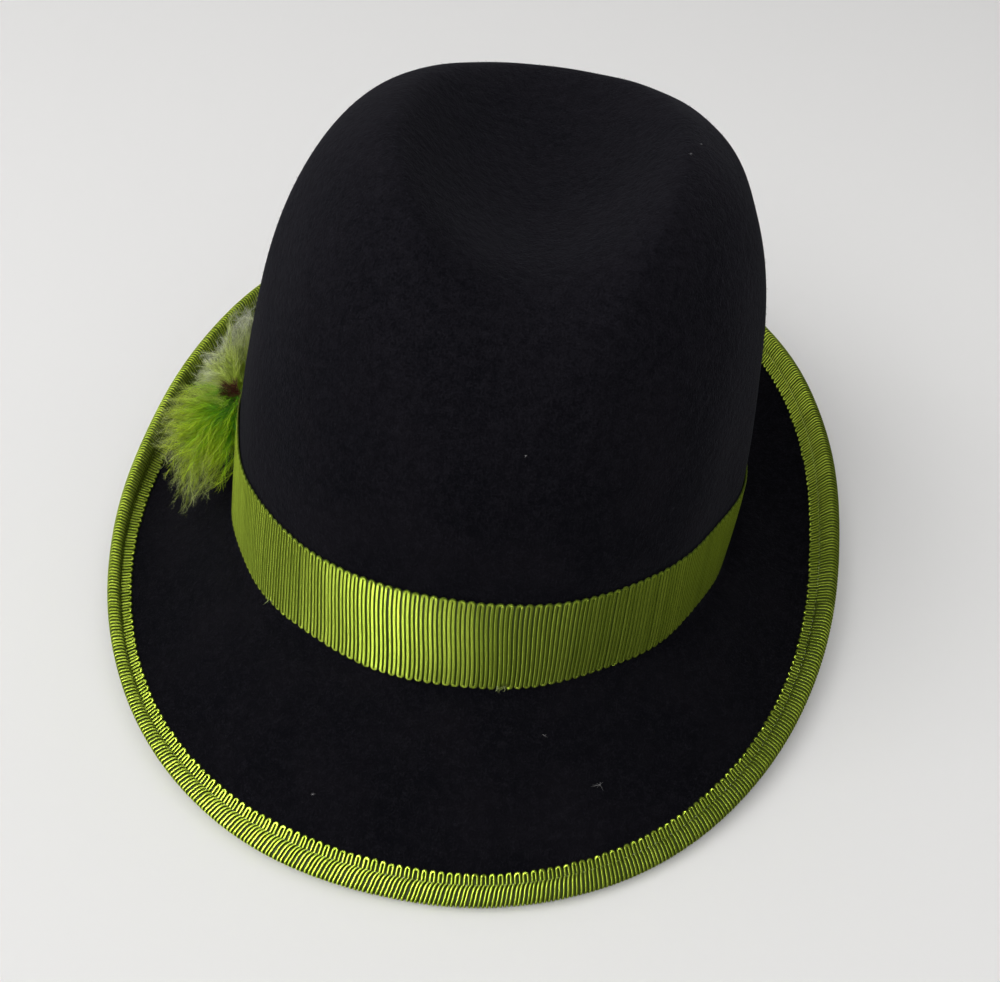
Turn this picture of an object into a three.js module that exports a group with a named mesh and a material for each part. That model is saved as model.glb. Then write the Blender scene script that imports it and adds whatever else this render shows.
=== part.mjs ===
// A felt hat in the alpine style, as it rests on a table: a tall crown with a hollow in its top, a
// brim that dips at the front and curls up at the sides and the back, a ribbed ribbon band, a
// ribbon folded over the brim's edge, and a dyed feather plume behind the band.
// Millimetres, +Z up. The front is towards -Y and the wearer's right side is towards -X.
// The origin is on the table, under the middle of the hat's outline box.
import * as THREE from "three";

// The head oval, measured outside the felt where the crown meets the brim.
const HEAD = { halfWidth: 84, halfLength: 97, squareness: 2.05 };

// The crown above that line. The two roundness values are the powers of its wall and its top.
// The back drop lowers its top towards the back, from a soft start at the middle.
const CROWN = { height: 140, wallPower: 4.37, topPower: 2.38, taper: 0.0566, leanRight: 6 };
const BACK_DROP = { share: 0.096, softness: 30 };

// The hollow pressed into the top, with a narrower end at the front. Its middle line slants a
// little, and it fades out down the crown's wall.
const HOLLOW = { x: 9, y: -32, slant: 0.06, front: 57, back: 76, halfWidth: 37, narrowing: 0.2 };
const HOLLOW_DEPTH = { full: 27, softness: 0.11, fade: 2 };

// The brim out to its bound edge, the height of that edge over the line where the crown starts,
// and how deep the brim's section hangs below a straight one. The twist lowers the edge at the
// right of the front and the left of the back.
const BRIM = { halfWidth: 122.6, front: 144.3, back: 144.8, squareness: 2.15 };
const EDGE_HEIGHT = { front: -35, side: 2, back: 32 };
const EDGE_TWIST = -0.8;
const EDGE_CURL = { front: 2, side: 7, back: 5 };
const CURL_POWER = 1.5;

// The bend between crown and brim, and the felt itself.
const BEND = { top: 1.2, radius: 3.5 };
const FELT = 2.0;
const GAP = 0.3;

// The ribbon band round the foot of the crown.
const BAND = { bottom: 1.2, height: 31.5, thickness: 0.9 };

// The ribbon folded over the edge: how far the felt stops short of it, and its section across the
// edge, from the inner end on top, over the roll, to the inner end underneath.
const BINDING = { feltStop: 2.0, width: 7.2, channel: 0.4 };
const BINDING_SECTION = [
  { out: -7.2, up: 1.9 },
  { out: -4.4, up: 1.95 },
  { out: -3.2, up: 2.4 },
  { out: -1.2, up: 2.6 },
  { out: 0.4, up: 2.2 },
  { out: 1.4, up: 1.1 },
  { out: 1.4, up: -1.1 },
  { out: 0.4, up: -2.2 },
  { out: -1.2, up: -2.6 },
  { out: -3.2, up: -2.35 },
  { out: -7.2, up: -1.9 },
];

// The plume's two tufts, each a dome on the side of the crown: the middle of its foot, how far the
// foot reaches round the crown and up it, and how far the feathers stand out.
const TUFTS = [
  { name: "plume_green_tuft", colour: 0x6f9a1e, around: -74, reach: 18, height: 13.5, tall: 12.5, out: 24 },
  { name: "plume_pale_tuft", colour: 0xb9c59a, around: -90, reach: 12, height: 40, tall: 16, out: 14 },
];
const TUFT_RINGS = 7;
const TUFT_SIDES = 20;

// How the hat rests: the crown leans back, the front edge and the back of the bend touch the table,
// and each is pressed flat there.
const LEAN_BACK = THREE.MathUtils.degToRad(7.8);
const HEAD_CENTRE = { x: 0, y: -0.2, z: 17.2 };

const COLUMNS = 60;
const TURN = Math.PI * 2;
const BEND_STEPS = [1, 0.75, 0.5, 0.25, 0];
const BRIM_STEPS = [1, 0.9, 0.8, 0.6, 0.4, 0.2];
const CROWN_STEPS = [5, 10, 15, 21, 28, 35, 42, 49, 55, 60.5, 65.5, 70, 74.5, 78.5, 82, 85.5, 88];

// A value that changes round the hat and is given at the front, the sides and the back.
function roundTheHat({ front, side, back }, angle) {
  const mean = (front + back) / 4 + side / 2;
  const lengthways = (front - back) / 2;
  const crossways = (front + back) / 4 - side / 2;
  return mean + lengthways * Math.cos(angle) + crossways * Math.cos(2 * angle);
}

// The distance from the middle to an oval. The angle is 0 at the front and 90 degrees at +X.
function ovalRadius(angle, halfWidth, front, back, squareness) {
  const length = Math.cos(angle) >= 0 ? front : back;
  const across = Math.abs(Math.sin(angle)) / halfWidth;
  const lengthways = Math.abs(Math.cos(angle)) / length;
  return (across ** squareness + lengthways ** squareness) ** (-1 / squareness);
}

function headRadius(angle) {
  return ovalRadius(angle, HEAD.halfWidth, HEAD.halfLength, HEAD.halfLength, HEAD.squareness);
}

// How deep the hollow is below the full dome at a place on the crown.
function hollowDepth(x, y) {
  const back = y - HOLLOW.y;
  const along = back / (back < 0 ? HOLLOW.front : HOLLOW.back);
  const sideways = x - HOLLOW.x + HOLLOW.slant * back;
  const across = sideways / (HOLLOW.halfWidth * (1 + HOLLOW.narrowing * along));
  const inside = 1 - along * along - across * across;
  return (HOLLOW_DEPTH.full / 2) * (inside + Math.hypot(inside, HOLLOW_DEPTH.softness));
}

// A point of the felt's outer face on the crown. The step is 0 at the foot and 90 at the top.
function crownPoint(angle, step) {
  const turn = THREE.MathUtils.degToRad(step);
  const inward = Math.cos(turn) ** (2 / CROWN.wallPower);
  const up = Math.sin(turn) ** (2 / CROWN.topPower);
  const radius = headRadius(angle) * inward * (1 - CROWN.taper * up);
  const x = radius * Math.sin(angle) + CROWN.leanRight * up;
  const y = -radius * Math.cos(angle);
  const back = (y + Math.hypot(y, BACK_DROP.softness)) / (2 * HEAD.halfLength);
  const dome = CROWN.height * up * (1 - BACK_DROP.share * back);
  return new THREE.Vector3(x, y, dome - hollowDepth(x, y) * up ** HOLLOW_DEPTH.fade);
}

// The step on the crown that lies at a height over its foot.
function crownStepAt(height) {
  const up = (height / CROWN.height) ** (CROWN.topPower / 2);
  return THREE.MathUtils.radToDeg(Math.asin(up));
}

// The brim's section at an angle: where its bend ends, and where its bound edge is.
function brimSection(angle) {
  const start = headRadius(angle) + BEND.radius;
  const edge = {
    radius: ovalRadius(angle, BRIM.halfWidth, BRIM.front, BRIM.back, BRIM.squareness),
    height: roundTheHat(EDGE_HEIGHT, angle) + EDGE_TWIST * Math.sin(2 * angle),
  };
  const slope = Math.atan2(edge.height - BEND.top + BEND.radius, edge.radius - start);
  const sweep = Math.PI / 2 + slope;
  const foot = {
    radius: start - BEND.radius * Math.cos(sweep),
    height: BEND.top - BEND.radius * Math.sin(sweep),
  };
  return { start, sweep, foot, edge };
}

function radialPoint(angle, radius, height) {
  return new THREE.Vector3(radius * Math.sin(angle), -radius * Math.cos(angle), height);
}

// A point on the bend, from 0 at the crown's wall to 1 where the brim starts.
function bendPoint(angle, step) {
  const { start, sweep } = brimSection(angle);
  const radius = start - BEND.radius * Math.cos(sweep * step);
  return radialPoint(angle, radius, BEND.top - BEND.radius * Math.sin(sweep * step));
}

// A point of the brim's upper face, from 0 at the bend to 1 at the bound edge.
function brimPoint(angle, step) {
  const { foot, edge } = brimSection(angle);
  const curl = roundTheHat(EDGE_CURL, angle) * Math.sin(Math.PI * step ** CURL_POWER);
  const radius = THREE.MathUtils.lerp(foot.radius, edge.radius, step);
  return radialPoint(angle, radius, THREE.MathUtils.lerp(foot.height, edge.height, step) - curl);
}

// The step on the brim at a distance out from the line where the felt ends inside the binding.
function feltStepAt(angle, out) {
  const { foot, edge } = brimSection(angle);
  const length = Math.hypot(edge.radius - foot.radius, edge.height - foot.height);
  return 1 + (out - BINDING.feltStop) / length;
}

// The normal of the felt's outer face, which is the upper one on the brim. The steps of the crown
// run up, and those of the brim and the bend run out and down.
function normalOf(surface, angle, step, small = 1e-3) {
  const round = surface(angle + small, step).sub(surface(angle - small, step));
  const along = surface(angle, step + small).sub(surface(angle, step - small));
  return round.cross(along).multiplyScalar(surface === crownPoint ? 1 : -1).normalize();
}

// A ring of points round the hat, from a function of the angle.
function ringOf(pointAt) {
  return Array.from({ length: COLUMNS }, (_, column) => pointAt((TURN * column) / COLUMNS));
}

// A ring on a surface or at a distance from it. The step may change with the angle.
function surfaceRing(surface, stepAt, distance) {
  return ringOf((angle) => {
    const step = stepAt(angle);
    return surface(angle, step).addScaledVector(normalOf(surface, angle, step), distance);
  });
}

// From the hat's own frame, level with its head oval, to the frame that it rests in.
function atRest(point) {
  const turned = point.clone().applyAxisAngle(new THREE.Vector3(1, 0, 0), -LEAN_BACK);
  turned.x += HEAD_CENTRE.x;
  turned.y += HEAD_CENTRE.y;
  turned.z = Math.max(0, turned.z + HEAD_CENTRE.z);
  return turned;
}

// A mesh from closed rings of points. Each ring joins the next, the last joins the first if the
// rings close on themselves, and otherwise a point closes each end.
function meshOfRings(name, material, rings, ends) {
  const positions = [];
  const indices = [];
  const sides = rings[0].length;
  rings.flat().forEach((point) => positions.push(...atRest(point)));
  const links = ends ? rings.length - 1 : rings.length;
  for (let ring = 0; ring < links; ring++) {
    const next = (ring + 1) % rings.length;
    for (let side = 0; side < sides; side++) {
      const beside = (side + 1) % sides;
      const a = ring * sides + side;
      const b = ring * sides + beside;
      const c = next * sides + beside;
      const d = next * sides + side;
      indices.push(a, b, c, a, c, d);
    }
  }
  if (ends) {
    const last = (rings.length - 1) * sides;
    const firstPoint = rings.length * sides;
    positions.push(...atRest(ends.first), ...atRest(ends.last));
    for (let side = 0; side < sides; side++) {
      const beside = (side + 1) % sides;
      indices.push(firstPoint, beside, side);
      indices.push(firstPoint + 1, last + side, last + beside);
    }
  }
  const geometry = new THREE.BufferGeometry();
  geometry.setAttribute("position", new THREE.Float32BufferAttribute(positions, 3));
  geometry.setIndex(indices);
  geometry.computeVertexNormals();
  const mesh = new THREE.Mesh(geometry, material);
  mesh.name = name;
  return mesh;
}

// The felt body: crown and brim in one, hollow inside, with the same thickness all over.
function feltBody() {
  const rowsAt = (distance) => [
    ...BRIM_STEPS.map((step) => surfaceRing(brimPoint, (angle) => step * feltStepAt(angle, 0), distance)),
    ...BEND_STEPS.map((step) => surfaceRing(bendPoint, () => step, distance)),
    ...CROWN_STEPS.map((step) => surfaceRing(crownPoint, () => step, distance)),
  ];
  const outer = rowsAt(0);
  const inner = rowsAt(-FELT);
  const top = crownPoint(0, 90);
  const under = top.clone().setZ(top.z - FELT);
  const felt = new THREE.MeshStandardMaterial({ color: 0x14151b, roughness: 0.95, metalness: 0 });
  return meshOfRings("felt_body", felt, [...inner.reverse(), ...outer], { first: under, last: top });
}

// The band: a strip that follows the crown's wall at a small gap.
function hatBand() {
  const heights = [0, 0.5, 1].map((part) => BAND.bottom + part * BAND.height);
  const ring = (height, distance) => surfaceRing(crownPoint, () => crownStepAt(height), distance);
  const face = heights.map((height) => ring(height, GAP + BAND.thickness));
  const back = heights.map((height) => ring(height, GAP)).reverse();
  const ribbon = new THREE.MeshStandardMaterial({ color: 0x6e7f22, roughness: 0.5, metalness: 0 });
  return meshOfRings("hat_band", ribbon, [...face, ...back]);
}

// The binding: the section above carried round the felt's edge, with a channel for the felt.
function brimBinding() {
  const half = FELT / 2 + GAP;
  const channel = [
    { out: -BINDING.width, up: -half },
    { out: -BINDING.width / 2, up: -half },
    { out: BINDING.channel, up: -half },
    { out: BINDING.channel, up: half },
    { out: -BINDING.width / 2, up: half },
    { out: -BINDING.width, up: half },
  ];
  const section = [...BINDING_SECTION, ...channel].reverse();
  const small = 1e-3;
  const rings = section.map(({ out, up }) =>
    ringOf((angle) => {
      const step = feltStepAt(angle, Math.min(out, 0));
      const normal = normalOf(brimPoint, angle, step);
      const alongEdge = brimPoint(angle + small, step).sub(brimPoint(angle - small, step)).normalize();
      const outward = alongEdge.cross(normal);
      const middle = brimPoint(angle, step).addScaledVector(normal, -FELT / 2);
      return middle.addScaledVector(outward, Math.max(out, 0)).addScaledVector(normal, up);
    }),
  );
  const ribbon = new THREE.MeshStandardMaterial({ color: 0x7d8f28, roughness: 0.5, metalness: 0 });
  return meshOfRings("brim_binding", ribbon, rings);
}

// One tuft of the plume: its outer form, a dome whose foot follows the band and the crown.
function tuft({ name, colour, around, reach, height, tall, out }) {
  const foot = 2 * GAP + BAND.thickness;
  const place = (ring, side, distance) => {
    const turn = (TURN * side) / TUFT_SIDES;
    const angle = THREE.MathUtils.degToRad(around + reach * ring * Math.cos(turn));
    const step = crownStepAt(height + tall * ring * Math.sin(turn));
    return crownPoint(angle, step).addScaledVector(normalOf(crownPoint, angle, step), distance);
  };
  const ringAt = (ring, distance) =>
    Array.from({ length: TUFT_SIDES }, (_, side) => place(ring, side, distance));
  const dome = Array.from({ length: TUFT_RINGS }, (_, index) => {
    const turn = (Math.PI / 2) * (index / TUFT_RINGS);
    return ringAt(Math.cos(turn), foot + out * Math.sin(turn));
  });
  const base = [0.33, 0.67].map((ring) => ringAt(ring, foot));
  const feathers = new THREE.MeshStandardMaterial({ color: colour, roughness: 0.9, metalness: 0 });
  return meshOfRings(name, feathers, [...base, ...dome], {
    first: place(0, 0, foot),
    last: place(0, 0, foot + out),
  });
}

const hat = new THREE.Group();
hat.add(feltBody(), hatBand(), brimBinding(), ...TUFTS.map(tuft));

export default hat;
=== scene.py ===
import bmesh
import bpy
import numpy as np
from mathutils import Matrix, Vector


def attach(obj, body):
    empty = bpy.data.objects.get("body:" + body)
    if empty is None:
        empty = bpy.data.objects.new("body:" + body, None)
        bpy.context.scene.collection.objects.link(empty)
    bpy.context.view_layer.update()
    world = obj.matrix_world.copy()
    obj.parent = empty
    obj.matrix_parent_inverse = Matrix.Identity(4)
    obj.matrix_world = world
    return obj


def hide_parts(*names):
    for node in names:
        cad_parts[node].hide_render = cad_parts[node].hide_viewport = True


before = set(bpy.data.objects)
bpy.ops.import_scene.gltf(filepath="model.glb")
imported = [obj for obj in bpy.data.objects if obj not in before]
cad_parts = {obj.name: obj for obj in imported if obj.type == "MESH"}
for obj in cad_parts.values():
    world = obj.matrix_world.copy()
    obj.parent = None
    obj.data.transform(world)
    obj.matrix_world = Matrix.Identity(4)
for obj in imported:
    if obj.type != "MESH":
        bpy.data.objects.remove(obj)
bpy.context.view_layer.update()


# The felt body

# Crown and brim are one piece of wool felt, 2 mm thick, steamed and pulled over a block. A hollow
# is pressed into the crown's top, and the brim turns down at the front and up at the sides and back.
# All angles run from the hat's front towards +X, and the crown's steps from 0 at its foot to 90.
HEAD = {"half_width": 0.084, "front": 0.097, "back": 0.097, "squareness": 2.05}
CROWN_HEIGHT = 0.140
WALL_POWER, TOP_POWER = 4.37, 2.38
TAPER = 0.0566
LEAN_RIGHT = 0.006
BACK_DROP, DROP_SOFTNESS = 0.096, 0.03
HOLLOW_CENTRE, HOLLOW_SLANT = (0.0090, -0.032), 0.06
HOLLOW_FRONT, HOLLOW_BACK, HOLLOW_HALF_WIDTH = 0.057, 0.076, 0.037
HOLLOW_NARROWING, HOLLOW_DEPTH, HOLLOW_SOFTNESS = 0.2, 0.027, 0.11
BRIM = {"half_width": 0.1226, "front": 0.1443, "back": 0.1448, "squareness": 2.15}
EDGE_HEIGHT = {"front": -0.035, "side": 0.002, "back": 0.032}
EDGE_TWIST = -0.0008
EDGE_CURL = {"front": 0.002, "side": 0.007, "back": 0.005}
CURL_POWER = 1.5
BEND_TOP, BEND_RADIUS = 0.0012, 0.0035
FELT_THICKNESS = 0.002
FELT_STOP = 0.002
LEAN_BACK = np.radians(7.8)
HEAD_CENTRE = np.array([0.0, -0.0002, 0.0172])
UNEVENNESS = 0.00022


def round_the_hat(angle, front, side, back):
    """A value given at the front, the sides and the back, at an angle between them."""
    mean = (front + back) / 4 + side / 2
    crossways = (front + back) / 4 - side / 2
    return mean + (front - back) / 2 * np.cos(angle) + crossways * np.cos(2 * angle)


def oval_radius(angle, half_width, front, back, squareness):
    length = np.where(np.cos(angle) >= 0, front, back)
    across = np.abs(np.sin(angle)) / half_width
    lengthways = np.abs(np.cos(angle)) / length
    return (across**squareness + lengthways**squareness) ** (-1 / squareness)


# Steaming never leaves felt quite smooth, so a few slow waves run over it in random directions.
felt_chance = np.random.default_rng(11)
FELT_WAVES = [
    (felt_chance.integers(2, 15), felt_chance.uniform(-90, 90), felt_chance.uniform(0, 6.28))
    for wave in range(14)
]


def unevenness(angle, height):
    waves = [np.sin(turns * angle + rise * height + start) for turns, rise, start in FELT_WAVES]
    return UNEVENNESS * sum(waves) / 2


def hollow_depth(x, y):
    back = y - HOLLOW_CENTRE[1]
    along = back / np.where(back < 0, HOLLOW_FRONT, HOLLOW_BACK)
    sideways = x - HOLLOW_CENTRE[0] + HOLLOW_SLANT * back
    across = sideways / (HOLLOW_HALF_WIDTH * (1 + HOLLOW_NARROWING * along))
    inside = 1 - along**2 - across**2
    return HOLLOW_DEPTH / 2 * (inside + np.hypot(inside, HOLLOW_SOFTNESS))


def crown_point(angle, step):
    """The felt's outer face on the crown."""
    turn = np.radians(step)
    inward = np.cos(turn) ** (2 / WALL_POWER)
    up = np.sin(turn) ** (2 / TOP_POWER)
    radius = oval_radius(angle, **HEAD) * (1 - TAPER * up) + unevenness(angle, CROWN_HEIGHT * up)
    x = radius * inward * np.sin(angle) + LEAN_RIGHT * up
    y = -radius * inward * np.cos(angle)
    drop = 1 - BACK_DROP * (y + np.hypot(y, DROP_SOFTNESS)) / (2 * HEAD["back"])
    return np.stack([x, y, CROWN_HEIGHT * up * drop - hollow_depth(x, y) * up**2], -1)


def crown_step(height):
    """The step on the crown at a height over its foot."""
    return np.degrees(np.arcsin((height / CROWN_HEIGHT) ** (TOP_POWER / 2)))


def brim_section(angle):
    """Where the brim's bend is centred, how far it turns and where it ends, and the edge's place."""
    start = oval_radius(angle, **HEAD) + BEND_RADIUS
    edge_radius = oval_radius(angle, **BRIM)
    edge_height = round_the_hat(angle, **EDGE_HEIGHT) + EDGE_TWIST * np.sin(2 * angle)
    rise = edge_height - BEND_TOP + BEND_RADIUS
    sweep = np.pi / 2 + np.arctan2(rise, edge_radius - start)
    foot_radius = start - BEND_RADIUS * np.cos(sweep)
    foot_height = BEND_TOP - BEND_RADIUS * np.sin(sweep)
    return start, sweep, foot_radius, foot_height, edge_radius, edge_height


def bend_point(angle, step):
    """The bend between crown and brim, from 0 at the crown to 1 at the brim."""
    start, sweep = brim_section(angle)[:2]
    radius = start - BEND_RADIUS * np.cos(sweep * step)
    height = BEND_TOP - BEND_RADIUS * np.sin(sweep * step)
    return np.stack([radius * np.sin(angle), -radius * np.cos(angle), height], -1)


def brim_point(angle, step):
    """The brim's upper face, from 0 at the bend to 1 at its bound edge."""
    foot_radius, foot_height, edge_radius, edge_height = brim_section(angle)[2:]
    curl = round_the_hat(angle, **EDGE_CURL) * np.sin(np.pi * np.maximum(step, 0) ** CURL_POWER)
    radius = foot_radius + (edge_radius - foot_radius) * step
    waves = unevenness(angle, radius) * np.clip(2 * step, 0, 1)
    height = foot_height + (edge_height - foot_height) * step - curl + waves
    return np.stack([radius * np.sin(angle), -radius * np.cos(angle), height], -1)


def felt_step(angle, out):
    """The step on the brim at a distance out from the felt's edge, which is inside the binding."""
    foot_radius, foot_height, edge_radius, edge_height = brim_section(angle)[2:]
    return 1 + (out - FELT_STOP) / np.hypot(edge_radius - foot_radius, edge_height - foot_height)


def normal_at(surface, angle, step, small=1e-3):
    """The normal of the felt's outer face, which is the upper one on the brim."""
    around = surface(angle + small, step) - surface(angle - small, step)
    along = surface(angle, step + small) - surface(angle, step - small)
    normal = np.cross(around, along) * (1 if surface is crown_point else -1)
    return normal / np.linalg.norm(normal, axis=-1, keepdims=True)


def at_rest(points):
    """From the hat's own frame, level with its head oval, to the frame that it rests in."""
    lean = np.array(Matrix.Rotation(-LEAN_BACK, 3, "X"))
    rested = points @ lean.T + HEAD_CENTRE
    rested[..., 2] = np.maximum(0, rested[..., 2])
    return rested


def mesh_piece(name, points, faces, values, finish, nodes=()):
    """A piece from points and faces, with a named value at each point for its material to read."""
    mesh = bpy.data.meshes.new(name)
    mesh.from_pydata(points.reshape(-1, 3).tolist(), [], faces.tolist())
    for key, value in values.items():
        attribute = mesh.attributes.new(key, "FLOAT", "POINT")
        attribute.data.foreach_set("value", np.asarray(value, np.float32).ravel())
    mesh.shade_smooth()
    mesh.materials.append(finish.material)
    piece = bpy.data.objects.new(name, mesh)
    bpy.context.scene.collection.objects.link(piece)
    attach(piece, "root")
    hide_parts(*nodes)
    return piece


def grid_faces(rows, columns, close_rows=False, close_columns=True):
    """The quads of a grid of points, stored row by row. A closed direction joins its two ends."""
    row = np.arange(rows if close_rows else rows - 1)[:, None]
    column = np.arange(columns if close_columns else columns - 1)[None]
    beyond, beside = (row + 1) % rows * columns, (column + 1) % columns
    corners = [row * columns + column, row * columns + beside, beyond + beside, beyond + column]
    return np.stack(np.broadcast_arrays(*corners), -1).reshape(-1, 4)


class Value:
    """A node's output. Arithmetic on it adds the Math nodes that work it out."""

    def __init__(self, finish, socket):
        self.finish, self.socket = finish, socket

    def math(self, operation, first, second=0.0):
        return self.finish.node("ShaderNodeMath", {"operation": operation}, {0: first, 1: second})

    def __add__(self, other):
        return self.math("ADD", self, other)

    def __sub__(self, other):
        return self.math("SUBTRACT", self, other)

    def __rsub__(self, other):
        return self.math("SUBTRACT", other, self)

    def __mul__(self, other):
        return self.math("MULTIPLY", self, other)

    __radd__, __rmul__ = __add__, __mul__


class Finish:
    """A material. Its node method adds any node and gives back one of its outputs."""

    def __init__(self, name, kind="materials"):
        self.material = getattr(bpy.data, kind).new(name)
        self.material.use_nodes = True
        self.tree = self.material.node_tree
        self.tree.nodes.clear()

    def node(self, kind, settings=None, inputs=None, output=0):
        node = self.tree.nodes.new(kind)
        for key, value in (settings or {}).items():
            if key == "stops":
                elements = node.color_ramp.elements
                for place, tint in value[1:-1]:
                    elements.new(place).color = tint
                elements[0].position, elements[0].color = value[0]
                elements[-1].position, elements[-1].color = value[-1]
            else:
                setattr(node, key, value)
        for key, value in (inputs or {}).items():
            if isinstance(value, Value):
                self.tree.links.new(value.socket, node.inputs[key])
            else:
                node.inputs[key].default_value = value
        return Value(self, node.outputs[output]) if len(node.outputs) else None

    def noise(self, scale, detail=2.0, stretch=(1, 1, 1)):
        """Noise over the piece's own space, with scale in waves a metre."""
        place = self.node("ShaderNodeTexCoord", output=3)
        stretched = self.node(
            "ShaderNodeVectorMath", {"operation": "MULTIPLY"}, {0: place, 1: stretch}
        )
        inputs = {"Vector": stretched, "Scale": scale, "Detail": detail}
        return self.node("ShaderNodeTexNoise", {}, inputs)

    def attribute(self, name):
        return self.node("ShaderNodeAttribute", {"attribute_name": name}, output=2)

    def parts(self, vector):
        """The three numbers of a vector."""
        outputs = self.node("ShaderNodeSeparateXYZ", {}, {0: vector}).socket.node.outputs
        return [Value(self, output) for output in outputs]

    def ramp(self, value, *stops):
        return self.node("ShaderNodeValToRGB", {"stops": stops}, {0: value})

    def mix(self, factor, first, second):
        settings = {"data_type": "RGBA"}
        return self.node("ShaderNodeMix", settings, {0: factor, 6: first, 7: second}, 2)

    def bump(self, height, depth, under=None):
        """A normal for relief that is depth metres deep, over another normal if there is one."""
        inputs = {"Height": height, "Distance": depth}
        return self.node("ShaderNodeBump", {}, inputs | ({"Normal": under} if under else {}))

    def surface(self, inputs):
        shader = self.node("ShaderNodeBsdfPrincipled", {}, inputs)
        self.node("ShaderNodeOutputMaterial", {}, {"Surface": shader})


def shade(red, green, blue):
    """A colour as seen, 0 to 255, as the light values that a node takes."""
    seen = np.array([red, green, blue]) / 255
    light = np.where(seen <= 0.04045, seen / 12.92, ((seen + 0.055) / 1.055) ** 2.4)
    return (*light.tolist(), 1.0)


BLACK, WHITE = shade(0, 0, 0), shade(255, 255, 255)


# The felt as one net of points, from the edge inside the binding, up the brim, over the bend and up
# the crown to the middle of its top, and back the same way along the inside.
FELT_COLUMNS, BRIM_ROWS, BEND_ROWS, CROWN_ROWS = 320, 26, 7, 84
around = 2 * np.pi * np.arange(FELT_COLUMNS)[None] / FELT_COLUMNS
brim_steps = np.linspace(1, 0, BRIM_ROWS)[:-1, None] * felt_step(around, 0)
bend_steps = np.linspace(1, 0, BEND_ROWS)[:, None]

# The crown's rows lie at even distances over its dome, from a little above the foot.
dome_steps = np.linspace(crown_step(0.004), 90, 4000)
dome = crown_point(np.zeros(1), dome_steps)
pressed_in = np.sin(np.radians(dome_steps)) ** (4 / TOP_POWER)
dome[:, 2] += hollow_depth(dome[:, 0], dome[:, 1]) * pressed_in
dome_way = np.append(0, np.cumsum(np.linalg.norm(np.diff(dome, axis=0), axis=1)))
crown_steps = np.interp(np.linspace(0, dome_way[-1], CROWN_ROWS), dome_way, dome_steps)[:, None]

felt_parts = [(brim_point, brim_steps), (bend_point, bend_steps), (crown_point, crown_steps)]
outer = np.concatenate([surface(around, steps) for surface, steps in felt_parts])
outward = np.concatenate(
    [normal_at(surface, around, np.minimum(steps, 89.8)) for surface, steps in felt_parts]
)
felt_points = at_rest(outer)
felt_faces = grid_faces(len(outer), FELT_COLUMNS)
lining_points = at_rest(outer[::-1] - outward[::-1] * FELT_THICKNESS)
both_sides = np.concatenate([felt_points, lining_points])

BLUE_BLACK, WORN_BLACK, LIT_NAP = shade(9, 9, 13), shade(14, 13, 17), shade(28, 27, 32)
felt = Finish("felt")
blotches = felt.noise(45, 3)
grain = felt.noise(2300, 4)
combed = felt.noise(1500, 2, (1, 1, 0.6))
patches = felt.noise(400, 3)
ground = felt.mix(felt.ramp(blotches, (0.38, BLACK), (0.66, WHITE)), BLUE_BLACK, WORN_BLACK)

# Painted shade darkens the felt towards +X and low down, and painted sheen lightens the crown's top.
sideways, _, upward = felt.parts(felt.node("ShaderNodeTexCoord", output=3))
painted_shade_right = felt.ramp(sideways * 4 + upward * -6 + 0.3, (0.45, BLACK), (0.85, WHITE))
painted_sheen_top = felt.ramp(upward * 6, (0.45, BLACK), (0.95, WHITE))
ground = felt.mix(painted_shade_right * 0.55, ground, shade(2, 2, 3))
# The lighter spots mix the felt's own grain with the painted sheen at the crown's top.
grain_and_painted_sheen = grain * 0.48 + combed * 0.28 + patches * 0.24 + painted_sheen_top * 0.09
flecks_and_painted_sheen = felt.ramp(grain_and_painted_sheen, (0.475, BLACK), (0.74, WHITE))
relief = felt.bump(grain * 0.5 + combed * 0.5, 0.0005, felt.bump(patches, 0.0005))
felt.surface(
    {
        "Base Color": felt.mix(flecks_and_painted_sheen, ground, LIT_NAP),
        "Roughness": 0.95,
        "Specular IOR Level": 0.004,
        "Sheen Weight": 0.040,
        "Sheen Roughness": 0.4,
        "Sheen Tint": shade(220, 222, 235),
        "Normal": relief,
    }
)
felt_body = mesh_piece(
    "felt_body_skin", both_sides, grid_faces(len(both_sides), FELT_COLUMNS, True),
    {}, felt, ["felt_body"],
)
felt_net = bmesh.new()
felt_net.from_mesh(felt_body.data)
bmesh.ops.remove_doubles(felt_net, verts=felt_net.verts, dist=1e-6)
felt_net.to_mesh(felt_body.data)
felt_net.free()


# The nap

# Short wool fibres stand out of the felt all over and show along its outline. Here and there some
# pale lint has settled on it. Each place of lint is an angle, a step and a length.
NAP_FIBRES = 20000
FIBRE_LENGTH, FIBRE_WIDTH, FIBRE_TIP = (0.0003, 0.0011), 0.00004, 0.00001
LINT_THREADS, LINT_HEIGHT, LINT_WIDTHS = 9, 0.0003, [0.00009, 0.00007, 0.00002]
LINT_ON_BRIM = [(26.3, 0.487, 0.0032), (19.0, 0.20, 0.0010), (-12.0, 0.62, 0.0008)]
LINT_ON_CROWN = [(10.0, 30.1, 0.0007), (64.2, 73.7, 0.0010), (74.5, 73.4, 0.0006)]


def strands(name, lines, widths, values, chance, finish, nodes=()):
    """Flat tapered strands. A line is a row of points, and widths and values have one for each."""
    count, places = lines.shape[:2]
    sideways = np.cross(np.gradient(lines, axis=1), chance.normal(size=(count, 1, 3)))
    sideways /= np.linalg.norm(sideways, axis=-1, keepdims=True)
    sideways *= np.broadcast_to(widths, (count, places))[..., None] / 2
    points = np.stack([lines - sideways, lines + sideways], 2)
    first = (np.arange(count)[:, None] * places + np.arange(places - 1)[None]).reshape(-1, 1) * 2
    faces = first + np.array([[0, 1, 3, 2]])
    spread = {
        key: np.repeat(np.broadcast_to(value, (count, places)), 2, axis=1)
        for key, value in values.items()
    }
    return mesh_piece(name, points, faces, spread, finish, nodes)


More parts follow.
